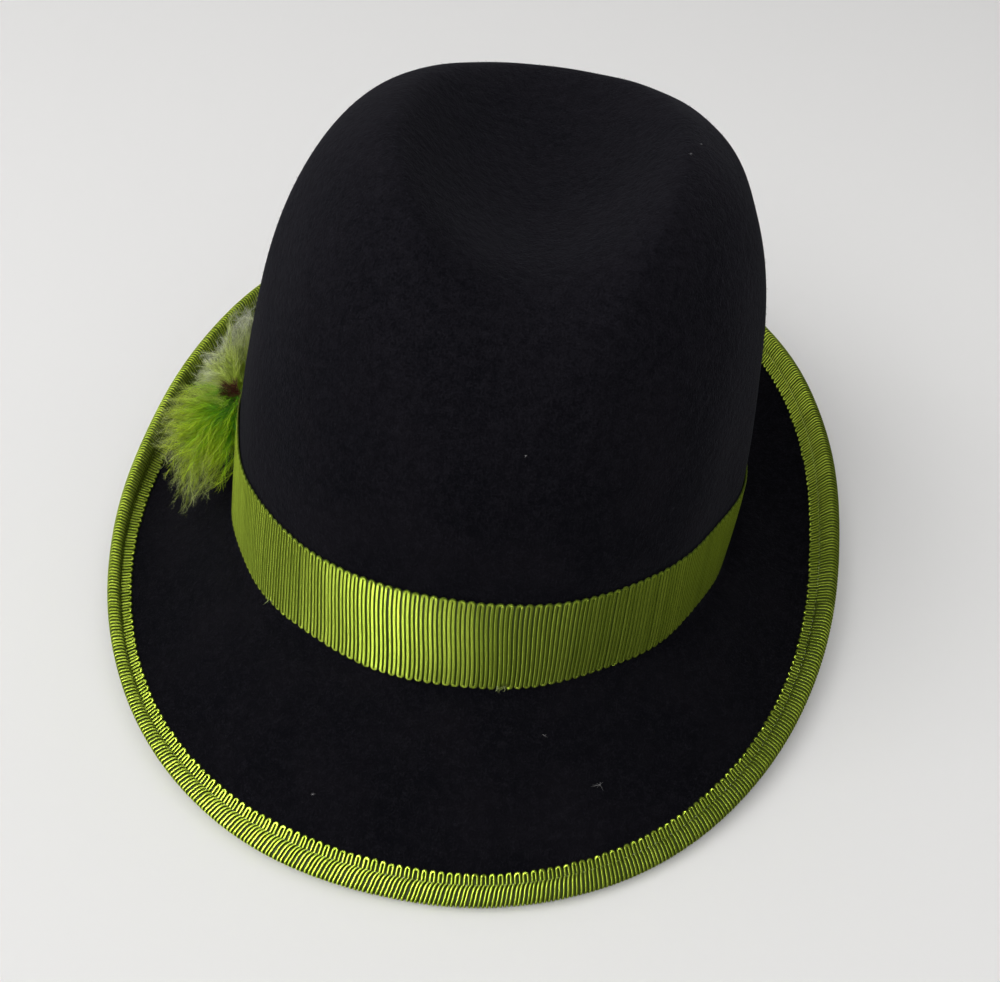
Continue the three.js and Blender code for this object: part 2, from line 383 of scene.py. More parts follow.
def fibre_lines(chance, roots, normals, lengths, stand):
    """Bent fibres of three points each. Stand is how far up they point, from 0 to 1."""
    lie = chance.normal(size=roots.shape)
    lie -= normals * np.sum(lie * normals, -1, keepdims=True)
    lie /= np.linalg.norm(lie, axis=-1, keepdims=True)
    stand = np.asarray(stand)[:, None]
    middle = roots + lengths[:, None] * 0.5 * (normals * stand + lie * (1 - stand))
    tip = middle + lengths[:, None] * 0.5 * (normals * stand * 0.4 + lie)
    return np.stack([roots, middle, tip], 1)


nap_chance = np.random.default_rng(23)
corners = felt_points.reshape(-1, 3)[felt_faces]
felt_normals = np.cross(corners[:, 2] - corners[:, 0], corners[:, 3] - corners[:, 1])
areas = np.linalg.norm(felt_normals, axis=1)
chosen = nap_chance.choice(len(areas), NAP_FIBRES, p=areas / areas.sum())
share = nap_chance.random((2, NAP_FIBRES, 1))
low_side = corners[chosen, 0] * (1 - share[0]) + corners[chosen, 1] * share[0]
high_side = corners[chosen, 3] * (1 - share[0]) + corners[chosen, 2] * share[0]
fibre_roots = low_side * (1 - share[1]) + high_side * share[1]
fibres = fibre_lines(
    nap_chance,
    fibre_roots,
    felt_normals[chosen] / areas[chosen, None],
    nap_chance.uniform(*FIBRE_LENGTH, NAP_FIBRES),
    nap_chance.uniform(0.15, 0.8, NAP_FIBRES),
)
nap = Finish("nap")
nap_tone = nap.ramp(nap.attribute("tone"), (0.0, shade(12, 12, 17)), (1.0, shade(46, 46, 56)))
nap.surface({"Base Color": nap_tone, "Roughness": 0.9, "Specular IOR Level": 0.01})
nap_tones = {"tone": nap_chance.random((NAP_FIBRES, 1)) ** 2}
fibre_widths = [[FIBRE_WIDTH, FIBRE_WIDTH, FIBRE_TIP]]
strands("felt_nap", fibres, fibre_widths, nap_tones, nap_chance, nap)

lint_lines = []
for surface, places in [(brim_point, LINT_ON_BRIM), (crown_point, LINT_ON_CROWN)]:
    for degrees, step, length in places:
        turn = np.radians(degrees)
        spot = at_rest(surface(turn, step) + normal_at(surface, turn, step) * LINT_HEIGHT)
        roots = np.repeat(spot[None], LINT_THREADS, axis=0)
        lengths = nap_chance.uniform(0.35, 1.0, LINT_THREADS) * length
        lies_flat = np.full(LINT_THREADS, 0.05)
        overhead = np.array([[0.0, 0.0, 1.0]])
        lint_lines.append(fibre_lines(nap_chance, roots, overhead, lengths, lies_flat))
lint_lines = np.concatenate(lint_lines)
lint = Finish("lint")
lint.surface({"Base Color": shade(150, 148, 150), "Roughness": 0.9, "Specular IOR Level": 0.01})
strands("felt_lint", lint_lines, [LINT_WIDTHS], {}, nap_chance, lint)


# The band

# A ribbed petersham ribbon goes round the foot of the crown. Its weft is one thick cord that runs
# up one rib and down the next and shows as small loops along both edges, over a fine darker warp.
BAND_BOTTOM, BAND_HEIGHT = 0.0012, 0.0315
BAND_LENGTH = 0.57
RIBBON_GAP = 0.0003
RIBBON_GROUND = 0.00025
BAND_RIBS = 442
LOOP_ROOM, WARP_PAST_RUN = 0.0011, 0.0004
CORD_WIDTH, CORD_HEIGHT = 0.00112, 0.00038
THREAD_PITCH = 0.00031

# The section of the cord, as places across and heights over its foot, in shares of its full size.
FINE_CORD = (
    [-0.5, -0.42, -0.3, -0.27, -0.24, 0.24, 0.27, 0.3, 0.42, 0.5],
    [0, 0.7, 0.97, 1, 1, 1, 1, 0.97, 0.7, 0],
)

# How far each rib leans, from its top to its foot, at angles round the hat in degrees.
LEAN_ANGLES = [-180, -60, -28, -13, 8, 22, 50, 90, 180]
LEANS = [0.0003, 0.0, 0.0002, 0.0024, 0.0027, 0.0010, 0.0010, 0.0004, 0.0003]


def even_turns(surface, step):
    """The angles at even distances along a line round the hat, for shares of the whole way."""
    angles = np.linspace(-np.pi, np.pi, 3601)
    line = surface(angles, step(angles))
    way = np.append(0, np.cumsum(np.linalg.norm(np.diff(line, axis=0), axis=1)))
    return lambda part: np.interp(part % 1, way / way[-1], angles)


def serpentine(ribs, run_points, loop_points):
    """One cord up a rib and down the next: its place round in ribs, along them from 0 to 1, and how
    far it reaches past either end, in ribs. There is a row for each pair of ribs."""
    run = np.linspace(0, 1, run_points)
    turn = np.pi * np.arange(1, loop_points + 1) / (loop_points + 1)
    flat, loop = np.zeros(run_points), np.ones(loop_points)
    rib = np.concatenate([flat, 0.5 - 0.5 * np.cos(turn), flat + 1, 1.5 - 0.5 * np.cos(turn)])
    along = np.concatenate([run, loop, 1 - run, 0 * loop])
    reach = np.concatenate([flat, 0.5 * np.sin(turn), flat, 0.5 * np.sin(turn)])
    pairs = 2 * np.arange(ribs // 2)[:, None]
    return pairs + rib[None], along[None] + 0.0 * pairs, reach[None] + 0.0 * pairs


def cord_piece(
    name, profile, centres, normals, width, height, values, finish, nodes, closed=True
):
    """A cord laid on a surface: half of it shows, with a flat crest and steep sides."""
    profile_across, profile_up = np.array(profile)
    if closed:
        ahead = np.roll(centres, -1, axis=0) - np.roll(centres, 1, axis=0)
    else:
        ahead = np.gradient(centres, axis=0)
    across = np.cross(ahead, normals)
    across /= np.linalg.norm(across, axis=-1, keepdims=True)
    points = centres[:, None] + across[:, None] * (profile_across[:, None] * width[:, None, None])
    points = points + normals[:, None] * (profile_up[:, None] * height)
    steps = np.linalg.norm(np.diff(centres, axis=0), axis=1)
    spread = {key: np.repeat(value, len(profile_up)) for key, value in values.items()}
    spread["crest"] = np.tile(profile_up, len(centres))
    spread["way"] = np.repeat(np.append(0, np.cumsum(steps)), len(profile_up))
    faces = grid_faces(len(centres), len(profile_up), closed, False)
    return mesh_piece(name, at_rest(points), faces, spread, finish, nodes)


band_chance = np.random.default_rng(31)
band_middle = crown_step(BAND_BOTTOM + BAND_HEIGHT / 2)
band_turn = even_turns(crown_point, lambda angle: band_middle + 0 * angle)
rib, along, reach = serpentine(BAND_RIBS, 13, 6)
rib_numbers = np.arange(BAND_RIBS + 1)
rib_shift = band_chance.normal(0, 0.035, BAND_RIBS + 1)
rib_shift[-1] = rib_shift[0]
loop_reach = 1 + band_chance.normal(0, 0.12, BAND_RIBS + 1)
rib_width = 1 + band_chance.normal(0, 0.05, BAND_RIBS + 1)
rib_width[-1] = rib_width[0]
rib_tone = band_chance.random(BAND_RIBS + 1)
rib_tone[-1] = rib_tone[0]

# The lower edge is snagged at two angles, where a loop is worn away and loose threads hang out.
# The cord of such a loop turns in and is drawn back behind the ribs.
SNAGS, SNAG_REACH = [-34.2, 12.0], 0.55
WORN_LOOP, DRAWN_BACK = -1.2, 0.0005
SNAG_THREADS, THREAD_LIFT, THREAD_WIDTHS = 14, 0.0009, [0.00016, 0.00013, 0.00006]
band_pitch = 1 / BAND_RIBS
home = np.degrees(band_turn(rib * band_pitch))
ease = (1 - along) ** 2 * (3 - 2 * (1 - along))
lean_share = np.interp(home, LEAN_ANGLES, LEANS) / BAND_LENGTH * (ease - 0.5)
band_angle = band_turn((rib + np.interp(rib, rib_numbers, rib_shift)) * band_pitch + lean_share)
run_foot = BAND_BOTTOM + LOOP_ROOM
run_length = BAND_HEIGHT - 2 * LOOP_ROOM
worn = np.min([np.abs(home - snag) for snag in SNAGS], axis=0) < SNAG_REACH
loop_size = np.where(worn & (along < 0.5), WORN_LOOP, np.interp(rib, rib_numbers, loop_reach))
past = reach * loop_size * BAND_LENGTH * band_pitch
band_height = run_foot + run_length * along + past * np.sign(along - 0.5)
band_angle, band_height = band_angle.ravel(), band_height.ravel()
band_step = crown_step(band_height)
band_normals = normal_at(crown_point, band_angle, band_step)
drawn_back = np.where(worn & (along < 0.5) & (reach > 0), DRAWN_BACK, 0).ravel()[:, None]
band_lift = RIBBON_GAP + RIBBON_GROUND - drawn_back
band_centres = crown_point(band_angle, band_step) + band_normals * band_lift


def ribbon_finish(name, gap_dye_and_shade, low_colour, high_colour):
    """Ribbed rayon: bright silky crests with a fine cross thread, and gaps darkened by dye and
    painted shade.
    """
    ribbon = Finish(name)
    tone = ribbon.attribute("tone")
    way = ribbon.attribute("way")
    streaks = ribbon.noise(900, 2)
    crest_colour = ribbon.mix(tone * 0.5 + streaks * 0.5, low_colour, high_colour)
    crest = ribbon.ramp(ribbon.attribute("crest"), (0.8, BLACK), (0.995, WHITE))
    thread = way.math("SINE", way * (2 * np.pi / THREAD_PITCH) + tone * 40)
    # On the cord's sides the gap colour is partly dye and partly painted shade between the ribs.
    ribbon.surface(
        {
            "Base Color": ribbon.mix(crest, gap_dye_and_shade, crest_colour),
            "Metallic": crest * 0.85,
            "Roughness": 0.86 - crest * 0.52,
            "Specular IOR Level": 0.06,
            "Specular Tint": shade(200, 212, 110),
            "Anisotropic": 0.95,
            "Anisotropic Rotation": 0.25,
            "Normal": ribbon.bump(thread * 0.3 + streaks * 0.45, 0.00009),
        }
    )
    return ribbon


# The first colour, on the gaps, is partly dye and partly painted shade.
band_ribbon = ribbon_finish(
    "band_ribbon", shade(66, 80, 22), shade(82, 96, 26), shade(114, 128, 44)
)
band_tones = np.interp(rib, rib_numbers, rib_tone).ravel()
band_widths = CORD_WIDTH * np.interp(rib, rib_numbers, rib_width).ravel()
band_cord = cord_piece(
    "band_ribs", FINE_CORD, band_centres, band_normals, band_widths, CORD_HEIGHT,
    {"tone": band_tones}, band_ribbon, ["hat_band"],
)

snag_lines = []
for degrees in SNAGS:
    turn = np.radians(degrees + band_chance.normal(0, 0.35, SNAG_THREADS))
    step = crown_step(run_foot + band_chance.uniform(-0.0004, 0.0010, SNAG_THREADS))
    roots = crown_point(turn, step) + normal_at(crown_point, turn, step) * THREAD_LIFT
    ends = band_chance.normal(size=(SNAG_THREADS, 3)) * 0.0006 + np.array([0, -0.0006, -0.0010])
    middles = roots + ends * 0.5 + band_chance.normal(size=(SNAG_THREADS, 3)) * 0.0003
    snag_lines.append(at_rest(np.stack([roots, middles, roots + ends], 1)))
snag_lines = np.concatenate(snag_lines)
loose_thread = Finish("loose_thread")
loose_thread.surface(
    {"Base Color": shade(140, 152, 84), "Roughness": 0.6, "Specular IOR Level": 0.2}
)
band_snags = strands(
    "band_snags", snag_lines, [THREAD_WIDTHS], {},
    band_chance, loose_thread, ["hat_band"],
)

# The warp under the cord, as a thin strip that stops just short of its loops.
warp_finish = Finish("band_warp")
warp_colour = warp_finish.mix(warp_finish.noise(1500, 2), shade(34, 46, 4), shade(54, 68, 8))
warp_finish.surface({"Base Color": warp_colour, "Roughness": 0.7, "Specular IOR Level": 0.1})
warp_rows = [(RIBBON_GROUND, part) for part in (0.0, 0.5, 1.0)]
warp_rows += [(0, part) for part in (1.0, 0.5, 0.0)]
warp_around = 2 * np.pi * np.arange(FELT_COLUMNS) / FELT_COLUMNS
warp_points = []
for lift, part in warp_rows:
    warp_height = run_foot - WARP_PAST_RUN + (run_length + 2 * WARP_PAST_RUN) * part
    warp_step = crown_step(warp_height) + 0 * warp_around
    outward = normal_at(crown_point, warp_around, warp_step)
    warp_points.append(crown_point(warp_around, warp_step) + outward * (RIBBON_GAP + lift))
band_ground = mesh_piece(
    "band_ground", at_rest(np.array(warp_points)), grid_faces(6, FELT_COLUMNS, True),
    {}, warp_finish, ["hat_band"],
)


# The binding

# A narrower length of such ribbon is folded over the brim's edge and sewn through in a groove. Its
# looped edges lie on the felt above and below, and its ribs are raked where the ribbon was pulled.
BINDING_WIDTH, BINDING_LENGTH = 0.0195, 0.86
BINDING_RIBS = 708
BINDING_START = 0.22
STRIP_HEIGHT = 0.00118
ROLL_OUT, ROLL_HALF_HEIGHT = 0.00095, 0.0021
ROLL_POWER, ROLL_START = 0.65, 0.41
STRIP_PART = 0.16
BROAD_CORD = ([-0.5, -0.3, -0.17, 0.17, 0.3, 0.5], [0, 0.88, 1, 1, 0.88, 0])
RIB_WIDTH, RIB_HEIGHT = 0.00100, 0.00047
WARP_THICKNESS = 0.00014

# The groove's distance in from the felt's edge, the strip's width inside it and how far the ribs
# are raked on the roll, at angles round the hat in degrees.
GROOVE_ANGLES = [-180, -100, -67, -38, -13, 11, 36, 67, 120, 180]
GROOVES = [0.0040, 0.0030, 0.0021, 0.0026, 0.0046, 0.0046, 0.0041, 0.0035, 0.0034, 0.0038]
STRIPS = [0.0029, 0.0030, 0.0031, 0.0028, 0.0028, 0.0024, 0.0028, 0.0023, 0.0024, 0.0028]
RAKE_ANGLES = [-180, -110, -75, -20, 18, 28, 45, 60, 75, 110, 180]
RAKES = [0.0004, 0.0010, 0.0019, 0.0021, 0.0019, 0.0003, 0.0001, 0.0009, 0.0012, 0.0006, 0.0004]


def binding_point(angle, out, up):
    """A point out from the felt's edge and up from the middle of its thickness."""
    step = felt_step(angle, np.minimum(out, 0))
    normal = normal_at(brim_point, angle, step)
    along = brim_point(angle + 1e-3, step) - brim_point(angle - 1e-3, step)
    outward = np.cross(along, normal)
    outward /= np.linalg.norm(outward, axis=-1, keepdims=True)
    lift = normal * (up - FELT_THICKNESS / 2)[..., None]
    return brim_point(angle, step) + outward * np.maximum(out, 0)[..., None] + lift


def binding_section(angle, part, past=0.0):
    """Out and up at a part of the ribbon's width, from its upper looped edge to its lower one."""
    degrees = np.degrees(angle)
    groove = np.interp(degrees, GROOVE_ANGLES, GROOVES)
    strip = np.interp(degrees, GROOVE_ANGLES, STRIPS)
    roll = np.clip((part - STRIP_PART) / (1 - 2 * STRIP_PART), 0, 1)
    turn = (np.pi - ROLL_START) * (1 - 2 * roll)
    half_width = (ROLL_OUT + groove) / 2
    across = np.sign(np.cos(turn)) * np.abs(np.cos(turn)) ** ROLL_POWER
    roll_out = half_width * (1 + across) - groove
    roll_up = ROLL_HALF_HEIGHT * np.sign(np.sin(turn)) * np.abs(np.sin(turn)) ** ROLL_POWER
    side = np.minimum(part, 1 - part)
    flat = side < STRIP_PART
    strip_out = -groove - (strip + past) * (1 - side / STRIP_PART)
    strip_out = np.where(side <= 0, -groove - strip - past, strip_out)
    out = np.where(flat, strip_out, roll_out)
    up = np.where(flat, np.sign(0.5 - part) * STRIP_HEIGHT, roll_up)
    return out, up


binding_chance = np.random.default_rng(47)
binding_turn = even_turns(brim_point, lambda angle: felt_step(angle, 0))
rib, along, reach = serpentine(BINDING_RIBS, 28, 5)
rib_numbers = np.arange(BINDING_RIBS + 1)
rib_shift = binding_chance.normal(0, 0.045, BINDING_RIBS + 1)
rib_reach = 1 + binding_chance.normal(0, 0.2, BINDING_RIBS + 1)
rib_width = 1 + binding_chance.normal(0, 0.06, BINDING_RIBS + 1)
rib_tone = binding_chance.random(BINDING_RIBS + 1)

rib_angle = np.degrees(binding_turn(BINDING_START + rib / BINDING_RIBS))
rake_shape = np.sin(np.pi * np.clip((along - STRIP_PART) / (1 - 2 * STRIP_PART), 0, 1)) ** 0.9
rake = np.interp(rib_angle, RAKE_ANGLES, RAKES) / BINDING_LENGTH * rake_shape
place = (rib + np.interp(rib, rib_numbers, rib_shift)) / BINDING_RIBS - rake
binding_angle = binding_turn(BINDING_START + place)
loop_past = reach * np.interp(rib, rib_numbers, rib_reach) * BINDING_LENGTH / BINDING_RIBS
binding_out, binding_up = binding_section(binding_angle, along, loop_past)
# The first colour, on the gaps, is partly dye and partly painted shade.
binding_ribbon = ribbon_finish(
    "binding_ribbon", shade(48, 60, 14), shade(88, 102, 26), shade(124, 138, 48)
)

# One cord goes round each half of the brim. Its normals come from the folded strip that it lies on.
rows = len(rib) // 2
for half, name in enumerate(["binding_ribs_left", "binding_ribs_right"]):
    own = slice(half * rows, (half + 1) * rows)
    turns, outs, ups = (value[own].ravel() for value in (binding_angle, binding_out, binding_up))
    centres = binding_point(turns, outs, ups)
    nudge = 2e-4
    before = binding_section(turns, np.clip(along[own].ravel() - nudge, 0, 1))
    after = binding_section(turns, np.clip(along[own].ravel() + nudge, 0, 1))
    across_ribbon = binding_point(turns, *after) - binding_point(turns, *before)
    round_edge = binding_point(turns + nudge, outs, ups) - binding_point(turns - nudge, outs, ups)
    normals = np.cross(across_ribbon, round_edge)
    normals /= np.linalg.norm(normals, axis=-1, keepdims=True)
    numbers = rib[own].ravel()
    cord_piece(
            name, BROAD_CORD, centres, normals,
            RIB_WIDTH * np.interp(numbers, rib_numbers, rib_width), RIB_HEIGHT,
            {"tone": np.interp(numbers, rib_numbers, rib_tone)},
            binding_ribbon, ["brim_binding"], closed=False,
        )

# The warp under the ribs: a closed strip from looped edge to looped edge, folded over with them.
strip_parts = np.concatenate(
    [
        np.linspace(0.01, STRIP_PART, 4),
        np.linspace(STRIP_PART + 0.01, 1 - STRIP_PART - 0.01, 24),
        np.linspace(1 - STRIP_PART, 0.99, 4),
    ]
)
strip_angle = 2 * np.pi * np.arange(FELT_COLUMNS)[None] / FELT_COLUMNS - np.pi
strip_out, strip_up = binding_section(strip_angle, strip_parts[:, None])
strip_top = binding_point(strip_angle + 0 * strip_out, strip_out, strip_up)
fold = np.clip((strip_parts - 0.5) / (0.5 - STRIP_PART), -1, 1)[:, None] + 0 * strip_out
strip_bottom = binding_point(
    strip_angle + 0 * strip_out,
    strip_out - WARP_THICKNESS * np.sqrt(1 - fold**2),
    strip_up + WARP_THICKNESS * fold,
)
binding_ground = mesh_piece(
    "binding_ground", at_rest(np.concatenate([strip_top, strip_bottom[::-1]])),
    grid_faces(2 * len(strip_parts), FELT_COLUMNS, True),
    {}, warp_finish, ["brim_binding"],
)

# Short stitches of the sewing lie in the groove, above and below. Each arches up from its two ends.
STITCH_LENGTH, STITCH_STEP, STITCH_WIDTH = 0.0013, 0.0026, 0.00022
STITCH_LIFT, STITCH_ARCH = 0.00022, 0.00034
STITCH_ABOVE, STITCH_BELOW = 0.00012, 0.0001
stitch_count = int(BINDING_LENGTH / STITCH_STEP)
stitch_points = []
for side in (1, -1):
    start = (np.arange(stitch_count) + binding_chance.normal(0, 0.06, stitch_count)) / stitch_count
    span = np.linspace(0, STITCH_LENGTH / BINDING_LENGTH, 4)
    turns = binding_turn(start[:, None] + span[None])
    groove = np.interp(np.degrees(turns), GROOVE_ANGLES, GROOVES)
    arched = np.array([0.1, 1, 1, 0.1])[None]
    up = side * (STRIP_HEIGHT + STITCH_LIFT + STITCH_ARCH * arched) + 0 * turns
    stitch_points.append((turns, -groove - 0.0001, up))
stitch_turns, stitch_out, stitch_up = (np.concatenate(part) for part in zip(*stitch_points))
stitch_side = np.sign(stitch_up)
stitch_tops = binding_point(stitch_turns, stitch_out, stitch_up + stitch_side * STITCH_ABOVE)
stitch_foot = stitch_up - stitch_side * STITCH_BELOW
stitch_sides = [
    binding_point(stitch_turns, stitch_out + side * STITCH_WIDTH / 2, stitch_foot)
    for side in (-1, 1)
]
stitch_ring = np.stack([stitch_sides[0], stitch_tops, stitch_sides[1]], 2)
stitch_number = np.arange(len(stitch_ring))[:, None, None] * 12
stitch_quads = stitch_number + np.array(
    [[row * 3 + side, row * 3 + side + 1, row * 3 + side + 4, row * 3 + side + 3]
     for row in range(3) for side in range(2)]
)[None]
sewing = Finish("sewing_thread")
sewing.surface({"Base Color": shade(112, 128, 44), "Roughness": 0.5, "Specular IOR Level": 0.4})
binding_stitches = mesh_piece(
    "binding_stitches", at_rest(stitch_ring), stitch_quads.reshape(-1, 4),
    {}, sewing, ["brim_binding"],
)


# The plume

# Marabou feathers are tucked behind the band's upper edge on the wearer's right. Their barbs, each
# fringed with fine barbules, spread over the band in a green tuft and up the crown in a pale one.
# A tuft's barbs gather in locks, and its ends are the x, y and z of its tips along the fan.
FAN_PLACES = [0.0, 0.25, 0.5, 0.75, 1.0]
TIP_SPREAD = 0.0018
BARBULES, BARBULE_LENGTH = 90, 0.0042
STRAND_WIDTHS = ([0.00007, 0.00007, 0.00002], [0.00012, 0.00010, 0.00008])
GREEN_BARBS, GREEN_LOCKS = 430, 26
GREEN_ROOT, GREEN_ROOT_SPREAD = (-0.0842, -0.0155, 0.0220), (0.0008, 0.0030, 0.0030)
GREEN_ENDS = [
    [-0.0905, -0.0975, -0.1060, -0.1075, -0.1035],
    [-0.0435, -0.0365, -0.0265, -0.0170, -0.0085],
    [-0.0030, 0.0040, 0.0105, 0.0140, 0.0195],
]
GREEN_THICKNESS = (-0.0036, -0.0020, 0.0068)
PALE_BARBS, PALE_LOCKS = 330, 18
PALE_ROOT, PALE_ROOT_SPREAD = (-0.0860, -0.0050, 0.0260), (0.0008, 0.0024, 0.0024)
PALE_ENDS = [
    [-0.1020, -0.1010, -0.0965, -0.0920, -0.0880],
    [-0.0080, 0.0000, 0.0070, 0.0130, 0.0205],
    [0.0195, 0.0255, 0.0315, 0.0400, 0.0455],
]
PALE_THICKNESS = (-0.0021, -0.0035, 0.0021)
RED_BARBS = 22
RED_ROOT, RED_TIP = (-0.0844, -0.0118, 0.0272), (-0.0868, -0.0146, 0.0286)


def blend(low, high, share):
    return low + (high - low) * share


def fan_out(chance, barbs, locks, root, root_spread, ends, thickness, reach):
    """The roots and tips of a tuft's barbs, their places in the fan from 0 to 1, and their tones."""
    lock = chance.integers(0, locks, barbs)
    fan = np.clip((lock + chance.normal(0.5, 0.3, barbs)) / locks, 0, 1)
    depth = blend(chance.random(barbs), chance.random(locks)[lock], 0.4)
    tone = blend(chance.random(barbs), chance.random(locks)[lock], 0.5)
    shortest, range_of_lengths, power, shorter_outside = reach
    share = shortest + range_of_lengths * chance.random(barbs) ** power
    share *= 1 - shorter_outside * depth
    roots = np.array(root) + chance.normal(size=(barbs, 3)) * root_spread
    tips = np.stack([np.interp(fan, FAN_PLACES, places) for places in ends], -1)
    tips = tips + np.array(thickness) * depth[:, None]
    tips += chance.normal(size=(barbs, 3)) * TIP_SPREAD
    return roots, roots + (tips - roots) * share[:, None], fan, tone


def barb_lines(chance, roots, tips, sag, places):
    """Each barb as a row of points on a curve from its root to its tip, bent sideways at random."""
    share = np.linspace(0, 1, places)[None, :, None]
    chord = tips - roots
    length = np.linalg.norm(chord, axis=1, keepdims=True)
    bow = chance.normal(size=roots.shape) * length * 0.13 + np.array([0, 0, 1]) * sag * length
    curl = chance.normal(size=roots.shape) * length * 0.06
    line = roots[:, None] + chord[:, None] * share + bow[:, None] * 4 * share * (1 - share)
    return line + curl[:, None] * np.sin(5.5 * share) * share**2


def barbule_lines(chance, barbs, per_barb, reach):
    """Barbules in rows on both sides of the barbs, swept forward, longest low on the barb."""
    count, places = barbs.shape[:2]
    spot = (np.arange(per_barb)[None] + chance.random((count, per_barb))) / per_barb
    spot = 0.04 + 0.96 * spot
    low = np.minimum((spot * (places - 1)).astype(int), places - 2)
    part = (spot * (places - 1) - low)[..., None]
    pick = np.arange(count)[:, None]
    roots = blend(barbs[pick, low], barbs[pick, low + 1], part)
    ahead = barbs[pick, low + 1] - barbs[pick, low]
    ahead /= np.linalg.norm(ahead, axis=-1, keepdims=True)
    out = chance.normal(size=roots.shape)
    out -= ahead * np.sum(out * ahead, -1, keepdims=True)
    out /= np.linalg.norm(out, axis=-1, keepdims=True)
    length = reach * (0.45 + 0.55 * np.sin(np.pi * (0.15 + 0.75 * spot)))
    length = (length * chance.uniform(0.5, 1.15, spot.shape))[..., None]
    middle = roots + length * 0.5 * (0.50 * out + 0.86 * ahead)
    stray = 0.22 * chance.normal(size=roots.shape)
    tip = middle + length * 0.5 * (0.16 * out + 0.98 * ahead + stray)
    lines = np.stack([roots, middle, tip], 2).reshape(-1, 3, 3)
    return lines, spot.reshape(-1)


def plume_finish(name, stops, faded):
    """Dyed down, matt and soft, whose colour changes from root to tip; the green tuft's dark roots
    are also painted shade.
    """
    down = Finish(name)
    tint = down.mix(down.attribute("fade"), down.ramp(down.attribute("along"), *stops), faded)
    shading = down.mix(down.attribute("tone"), shade(178, 182, 170), WHITE)
    settings = {"data_type": "RGBA", "blend_type": "MULTIPLY"}
    colour = down.node("ShaderNodeMix", settings, {0: 1.0, 6: tint, 7: shading}, 2)
    down.surface(
        {
            "Base Color": down.mix(down.attribute("red"), colour, shade(86, 38, 28)),
            "Roughness": 0.6,
            "Alpha": down.ramp(down.attribute("along"), (0.55, WHITE), (1.0, shade(175, 175, 175))),
            "Specular IOR Level": 0.06,
            "Sheen Weight": 0.04,
            "Sheen Roughness": 0.5,
            "Sheen Tint": shade(225, 245, 170),
        }
    )
    return down


def tuft(name, chance, roots, tips, sag, colours, finish, nodes):
    """The barbs and their barbules, as one piece of tapered strands of three points each."""
    barbs = at_rest(barb_lines(chance, roots, tips, sag, 9))
    lines, spot = barbule_lines(chance, barbs, BARBULES, BARBULE_LENGTH)
    stems = np.stack([barbs[:, 0:8:2], barbs[:, 1:8:2], barbs[:, 2:9:2]], 2).reshape(-1, 3, 3)
    stem_spot = np.tile((np.arange(4)[:, None] * 2 + np.arange(3)[None]) / 8, (len(barbs), 1))
    line_spot = spot[:, None] + np.array([[0, 0.04, 0.1]])
    values = {
        key: np.concatenate([np.repeat(value, BARBULES), np.repeat(value, 4)])[:, None]
        for key, value in colours.items()
    }
    values["along"] = np.clip(np.concatenate([line_spot, stem_spot]), 0, 1)
    strand_width = np.concatenate(
        [np.tile(STRAND_WIDTHS[0], (len(lines), 1)), np.tile(STRAND_WIDTHS[1], (len(stems), 1))]
    )
    return strands(
        name, np.concatenate([lines, stems]), strand_width, values, chance, finish, nodes
    )


green_chance = np.random.default_rng(59)
green_root, green_tips, fan, green_tone = fan_out(
    green_chance, GREEN_BARBS, GREEN_LOCKS, GREEN_ROOT, GREEN_ROOT_SPREAD,
    GREEN_ENDS, GREEN_THICKNESS, (0.55, 0.47, 1.0, 0.12),
)
# The barbs nearest the pale tuft are the palest of the green ones.
green_fade = 0.75 * np.clip((fan - 0.62) / 0.38, 0, 1)
# The deep green at the roots is partly dye and partly painted shade where the barbs crowd together.
green_down = plume_finish(
    "green_down",
    [
        (0.0, shade(24, 96, 0)),
        (0.16, shade(76, 164, 0)),
        (0.34, shade(146, 204, 0)),
        (0.60, shade(190, 220, 6)),
        (0.84, shade(190, 208, 60)),
        (1.0, shade(204, 212, 146)),
    ],
    shade(186, 206, 84),
)
tuft(
    "plume_green_barbs", green_chance, green_root, green_tips, 0.10,
    {"tone": green_tone, "red": 0 * green_tone, "fade": green_fade},
    green_down, ["plume_green_tuft"],
)

pale_chance = np.random.default_rng(61)
pale_root, pale_tips, fan, pale_tone = fan_out(
    pale_chance, PALE_BARBS, PALE_LOCKS, PALE_ROOT, PALE_ROOT_SPREAD,
    PALE_ENDS, PALE_THICKNESS, (0.55, 0.45, 0.5, 0.2),
)
pale_fade = 0.8 * np.clip((0.45 - fan) / 0.45, 0, 1)

# One lock of them is short and brown-red. It sits in front, against the crown.
red_barbs = (np.arange(PALE_BARBS) < RED_BARBS).astype(float)
red_spread = pale_chance.normal(size=(2, RED_BARBS, 3)) * 0.0011
pale_root[:RED_BARBS] = np.array(RED_ROOT) + 0.8 * red_spread[0]
pale_tips[:RED_BARBS] = np.array(RED_TIP) + 1.2 * red_spread[1]
pale_down = plume_finish(
    "pale_down",
    [
        (0.0, shade(176, 206, 40)),
        (0.35, shade(206, 224, 90)),
        (0.65, shade(214, 222, 156)),
        (1.0, shade(236, 236, 226)),
    ],
    shade(188, 206, 92),
)
tuft(
    "plume_pale_barbs", pale_chance, pale_root, pale_tips, 0.06,
    {"tone": pale_tone, "red": red_barbs, "fade": pale_fade},
    pale_down, ["plume_pale_tuft"],
)


# The floor, the light and the camera

# The hat stands on a plain pale floor with painted shade that darkens it a little far behind it,
# where the light falls off. Soft lights come from the left, the front and behind. Four more are seen
# only in glossy things, and light up the ribs.
floor_mesh = bpy.data.meshes.new("floor")
floor_mesh.from_pydata([(-3, -3, 0), (3, -3, 0), (3, 3, 0), (-3, 3, 0)], [], [(0, 1, 2, 3)])
floor = bpy.data.objects.new("floor", floor_mesh)
bpy.context.scene.collection.objects.link(floor)
pale = Finish("pale_floor")
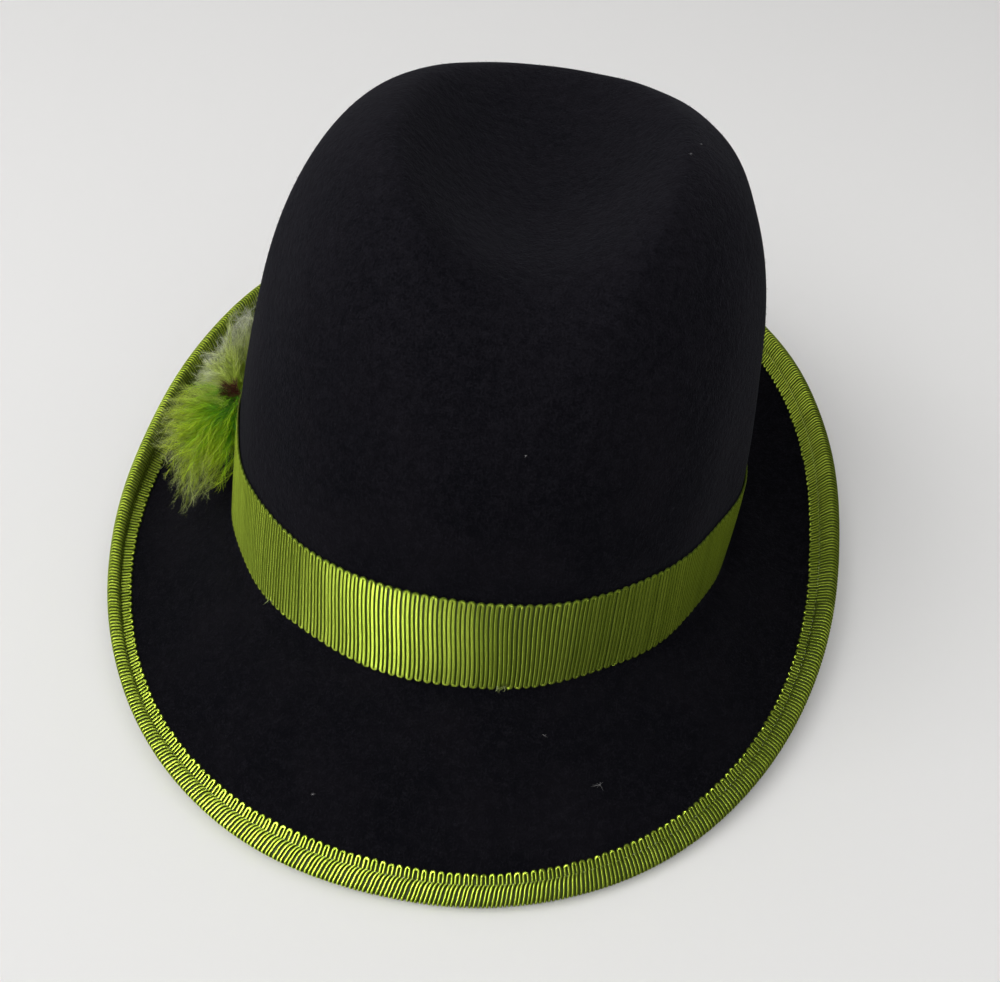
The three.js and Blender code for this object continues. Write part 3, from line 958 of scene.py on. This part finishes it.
# Painted shade: the floor's colour darkens with distance behind the hat, where the light falls off.
away = pale.parts(pale.node("ShaderNodeTexCoord", output=3))[1]
floor_painted_falloff = pale.ramp(away, (0.05, shade(231, 230, 229)), (0.75, shade(214, 213, 212)))
pale.surface({"Base Color": floor_painted_falloff, "Roughness": 0.9, "Specular IOR Level": 0.0})
floor_mesh.materials.append(pale.material)

bpy.context.scene.view_settings.view_transform = "Standard"
# The room is brighter overhead than at the sides, and darkest behind the hat on its right.
room = Finish("room", "worlds")
bpy.context.scene.world = room.material
to_right, to_back, upward = room.parts(room.node("ShaderNodeTexCoord", output=0))
strength = 0.36 + upward * 0.42 + to_right * -0.20 + to_back * -0.17
background = room.node("ShaderNodeBackground", {}, {"Color": WHITE, "Strength": strength})
room.node("ShaderNodeOutputWorld", {}, {"Surface": background})


LIGHT_DISTANCE = 2.4


def area_light(name, azimuth, elevation, width, height, power, only_gloss=False):
    """A soft rectangular light that faces the hat. The azimuth is from the front towards +X."""
    turn, rise = np.radians(azimuth), np.radians(elevation)
    way = Vector((np.sin(turn) * np.cos(rise), -np.cos(turn) * np.cos(rise), np.sin(rise)))
    light = bpy.data.lights.new(name, "AREA")
    light.shape, light.size, light.size_y, light.energy = "RECTANGLE", width, height, power
    lamp = bpy.data.objects.new(name, light)
    lamp.location = Vector((0, 0, 0.06)) + way * LIGHT_DISTANCE
    lamp.rotation_euler = way.to_track_quat("Z", "Y").to_euler()
    lamp.visible_diffuse = not only_gloss
    bpy.context.scene.collection.objects.link(lamp)


area_light("window", -68, 48, 1.5, 1.05, 18)
area_light("panel", -19, 46, 1.5, 1.05, 11)
area_light("behind", 150, 60, 1.4, 1.0, 2)
area_light("window_gloss", -130, 33, 1.3, 1.05, 85, True)
area_light("panel_gloss", -21, 46, 0.8, 1.05, 118, True)
area_light("side_gloss", -47, 46, 1.4, 1.05, 270, True)
area_light("right_gloss", 100, 18, 1.2, 0.6, 6, True)

# The camera stands in front of the hat, a little to the +X side, and looks down on it. Its turns
# are about X, Y and Z, in degrees, from looking straight down.
CAMERA_PLACE = (0.03463, -0.27893, 0.30538)
CAMERA_TURNS = (43.6533, -3.5739, 9.7982)
camera = bpy.data.objects.new("camera", bpy.data.cameras.new("camera"))
camera.data.lens, camera.data.sensor_width = 41.4, 36
camera.data.clip_start = 0.01
camera.location = CAMERA_PLACE
camera.rotation_euler = [np.radians(angle) for angle in CAMERA_TURNS]
bpy.context.scene.collection.objects.link(camera)
bpy.context.scene.camera = camera
